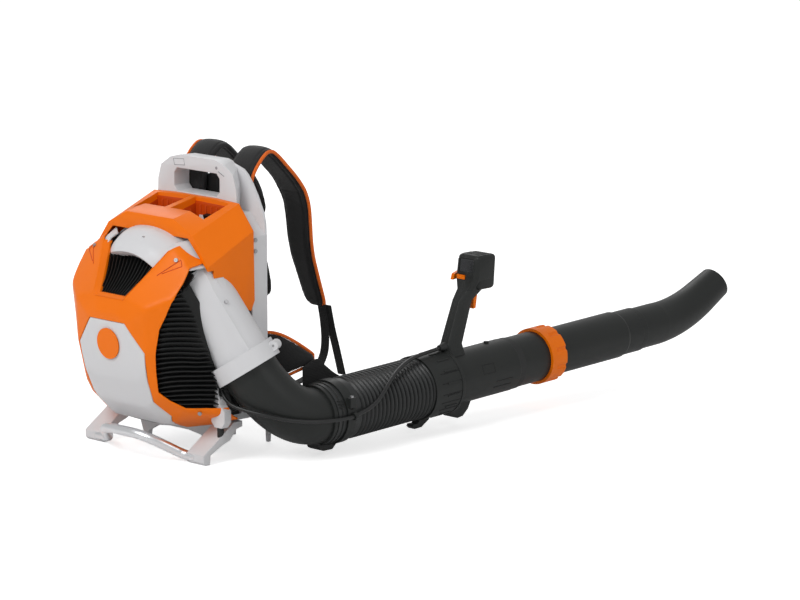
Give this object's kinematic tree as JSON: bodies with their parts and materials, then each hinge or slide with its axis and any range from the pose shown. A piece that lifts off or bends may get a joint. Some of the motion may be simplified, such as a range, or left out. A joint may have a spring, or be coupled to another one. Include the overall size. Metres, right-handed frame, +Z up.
{
  "type": "backpack leaf blower",
  "caption": "Electric leaf blower worn on the back: a snail-shaped fan casing with battery bays and harness, an elbow, a ribbed hose and a bent blow tube with a control handle.",
  "frame": {"origin": "on the ground, in the middle of the stand's front foot, on the machine's centre plane", "axes": "+X to the wearer's right, where the blow tube lies, +Y forward along the blow tube, +Z up"},
  "size_m": [0.4745, 1.3988, 0.539],
  "materials": {
    "orange": "satin moulded plastic",
    "light_grey": "satin moulded plastic",
    "charcoal": "fine grained plastic",
    "rubber": "matt",
    "aluminium": "bright drawn tube",
    "steel": "zinc plated",
    "copper": "enamelled winding",
    "fabric": "woven cover over foam",
    "piping": "woven edge binding",
    "glass": "clear over black"
  },
  "bodies": {
    "machine": {"back_plate": "light_grey", "base_frame": "light_grey", "stand_bar": "aluminium", "fan_casing_rear": "light_grey", "fan_casing_front": "light_grey", "body_screws": "steel", "intake_cage": "charcoal", "rear_cover_frame": "orange", "rear_cover_panel": "light_grey", "badge_disc": "orange", "battery_housing": "orange", "bay_liners": "light_grey", "battery_contacts": "charcoal", "controller_box": "charcoal", "battery_leads": "charcoal", "motor_housing": "aluminium", "motor_stator": "copper", "motor_mount": "charcoal", "motor_bearings": "steel", "duct_collar": "light_grey", "collar_screws": "steel", "duct_seal": "rubber", "duct_bracket": "light_grey", "vibration_buffers": "rubber", "cable_gland": "charcoal", "back_pad": "fabric", "shoulder_strap_left": "fabric", "shoulder_strap_right": "fabric", "strap_bindings": "piping", "hip_belt_left": "fabric", "hip_belt_right": "fabric", "belt_bindings": "piping", "webbing": "fabric"},
    "fan": {"impeller": "charcoal", "rotor_shaft": "steel", "rotor_core": "steel", "shaft_nut": "steel"},
    "elbow_body": {"elbow": "charcoal", "elbow_foot": "rubber", "hose_clamp": "charcoal", "clamp_screw": "steel", "cable_clip": "charcoal", "control_cable_lower": "rubber"},
    "hose": {"bellows": "rubber", "control_cable_upper": "rubber"},
    "handle_body": {"hose_cuff": "charcoal", "handle_tube": "charcoal", "end_band": "rubber", "handle_shell_left": "charcoal", "handle_shell_right": "charcoal", "display_window": "glass", "strain_relief": "rubber"},
    "ring_body": {"union_ring": "orange"},
    "tube_body": {"blow_tube": "charcoal"},
    "nozzle_body": {"nozzle": "charcoal"},
    "trigger_body": {"trigger": "orange"},
    "lever_body": {"thumb_lever": "orange"},
    "button_body": {"start_button": "orange"},
    "latch_left": {"battery_latch_left": "charcoal"},
    "latch_right": {"battery_latch_right": "charcoal"}
  },
  "joints": [
    {"name": "fan_spin", "type": "hinge", "parent": "machine", "child": "fan", "pos_m": [0, -0.19, 0.236], "axis": [0, 1, 0], "continuous": true},
    {"name": "elbow_swivel", "type": "hinge", "parent": "machine", "child": "elbow_body", "pos_m": [0.183, -0.124, 0.164], "axis": [0.4661, 0.26, -0.8457], "range_deg": [0, 30], "deforming": ["control_cable_lower"]},
    {"name": "hose_side_bend", "type": "hinge", "parent": "elbow_body", "child": "hose", "pos_m": [0.235, 0.097, 0.0779], "axis": [0, 0, 1], "range_deg": [-18, 18], "deforming": ["bellows", "control_cable_upper"]},
    {"name": "hose_lift_bend", "type": "hinge", "parent": "hose", "child": "handle_body", "pos_m": [0.235, 0.188, 0.08155], "axis": [1, 0, 0], "range_deg": [-4, 20], "deforming": ["bellows", "control_cable_upper"]},
    {"name": "ring_turn", "type": "hinge", "parent": "handle_body", "child": "ring_body", "pos_m": [0.235, 0.577, 0.09717], "axis": [0, 0.9992, 0.0401], "range_deg": [0, 40]},
    {"name": "tube_slide", "type": "slide", "parent": "handle_body", "child": "tube_body", "axis": [0, -0.9992, -0.0401], "range_m": [0, 0.08]},
    {"name": "nozzle_twist", "type": "hinge", "parent": "tube_body", "child": "nozzle_body", "pos_m": [0.235, 0.835, 0.10754], "axis": [0, 0.9992, 0.0401], "range_deg": [-90, 90]},
    {"name": "trigger_pull", "type": "hinge", "parent": "handle_body", "child": "trigger_body", "pos_m": [0.235, 0.389, 0.248], "axis": [-1, 0, 0], "range_deg": [0, 12], "stiffness_Nm_per_rad": 0.4, "springref_deg": -14.32},
    {"name": "speed_lever", "type": "hinge", "parent": "handle_body", "child": "lever_body", "pos_m": [0.207, 0.393, 0.274], "axis": [1, 0, 0], "range_deg": [-25, 20]},
    {"name": "start_press", "type": "slide", "parent": "handle_body", "child": "button_body", "axis": [0, 1, 0], "range_m": [0, 0.0022], "stiffness_N_per_m": 500, "springref_m": -0.003},
    {"name": "latch_left_tilt", "type": "hinge", "parent": "machine", "child": "latch_left", "pos_m": [-0.0505, -0.094, 0.398], "axis": [1, 0, 0], "range_deg": [0, 20], "stiffness_Nm_per_rad": 0.2, "springref_deg": -11.46},
    {"name": "latch_right_tilt", "type": "hinge", "parent": "machine", "child": "latch_right", "pos_m": [0.0505, -0.094, 0.398], "axis": [1, 0, 0], "range_deg": [0, 20], "stiffness_Nm_per_rad": 0.2, "springref_deg": -11.46}
  ]
}
